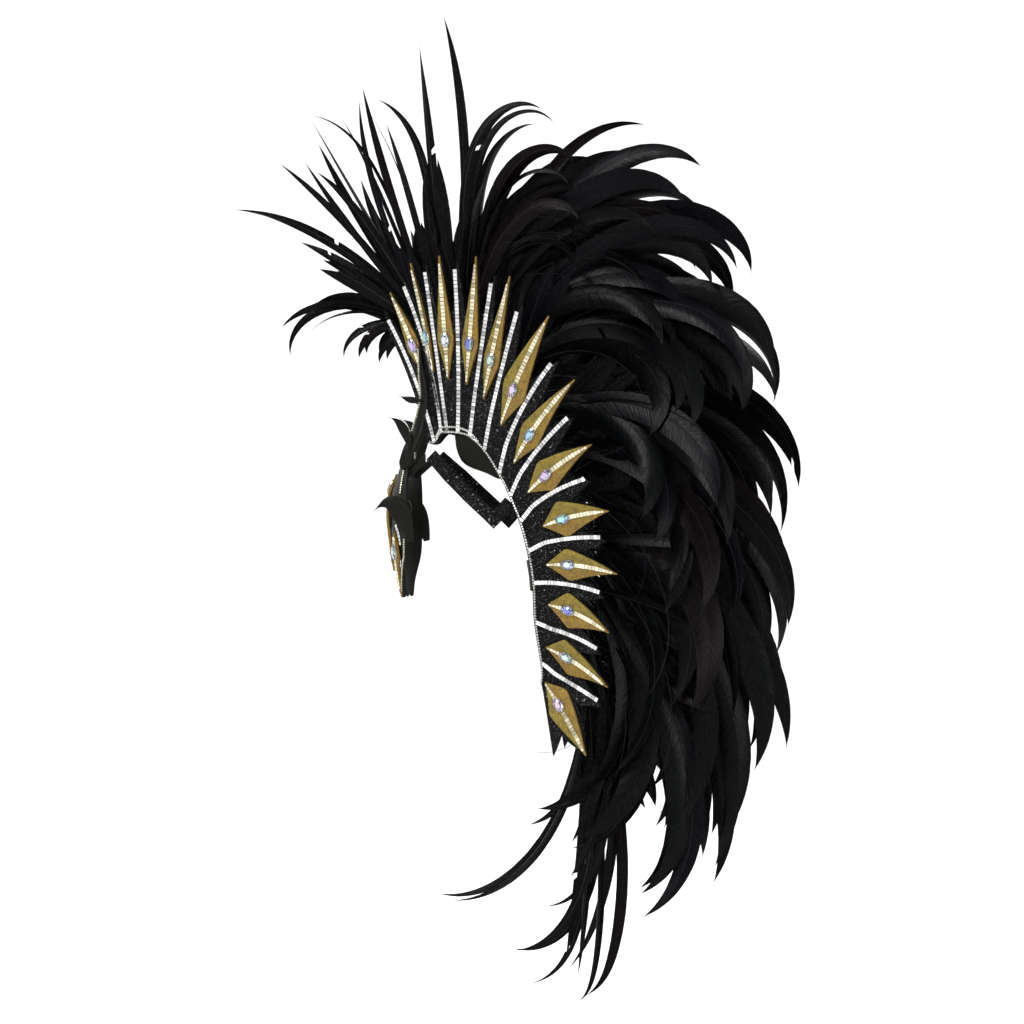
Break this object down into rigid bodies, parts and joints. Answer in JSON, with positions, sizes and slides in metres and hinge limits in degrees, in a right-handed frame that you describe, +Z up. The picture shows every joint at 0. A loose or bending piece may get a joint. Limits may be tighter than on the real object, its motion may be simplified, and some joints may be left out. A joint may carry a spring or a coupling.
{
  "type": "feathered headdress",
  "caption": "Worn carnival crest: black glitter side panels with gold kites and mirror strips, a helm-like face mask, straps and a mohawk of long black plumes.",
  "frame": {"origin": "seat on the crown of the head: where the crown pad's middle rests, on the middle plane between the side panels", "axes": "+Z up along the standing head, -X the way the wearer faces, -Y the wearer's left"},
  "size_m": [0.7205, 0.2328, 1.2116],
  "materials": {
    "glitter_board": "black board with fine glitter",
    "gold_glitter": "gold glitter board",
    "mirror_tile": "small mirror tiles and rhinestones",
    "black_feather": "near-black satin coque feathers"
  },
  "bodies": {
    "root": {"crest_base": "glitter_board", "crown_pad": "glitter_board", "edge_trim_left": "mirror_tile", "edge_trim_right": "mirror_tile", "face_mask": "glitter_board", "forehead_band": "glitter_board", "horn_brow_left": "glitter_board", "horn_brow_right": "glitter_board", "horn_cheek_left": "glitter_board", "horn_cheek_right": "glitter_board", "horn_small_left": "glitter_board", "horn_small_right": "glitter_board", "kite_left_01": "gold_glitter", "kite_left_02": "gold_glitter", "kite_left_03": "gold_glitter", "kite_left_04": "gold_glitter", "kite_left_05": "gold_glitter", "kite_left_06": "gold_glitter", "kite_left_07": "gold_glitter", "kite_left_08": "gold_glitter", "kite_left_09": "gold_glitter", "kite_left_10": "gold_glitter", "kite_left_11": "gold_glitter", "kite_left_12": "gold_glitter", "kite_left_13": "gold_glitter", "kite_right_01": "gold_glitter", "kite_right_02": "gold_glitter", "kite_right_03": "gold_glitter", "kite_right_04": "gold_glitter", "kite_right_05": "gold_glitter", "kite_right_06": "gold_glitter", "kite_right_07": "gold_glitter", "kite_right_08": "gold_glitter", "kite_right_09": "gold_glitter", "kite_right_10": "gold_glitter", "kite_right_11": "gold_glitter", "kite_right_12": "gold_glitter", "kite_right_13": "gold_glitter", "mask_kite_cheek_left": "gold_glitter", "mask_kite_cheek_right": "gold_glitter", "mask_kite_nose": "gold_glitter", "nape_band": "glitter_board", "plume_back_lower": "black_feather", "plume_back_middle": "black_feather", "plume_back_upper": "black_feather", "plume_front_droop": "black_feather", "plume_front_spray": "black_feather", "plume_tail": "black_feather", "plume_top": "black_feather", "side_panel_left": "glitter_board", "side_panel_right": "glitter_board", "side_strap_left": "glitter_board", "side_strap_right": "glitter_board"}
  },
  "joints": []
}
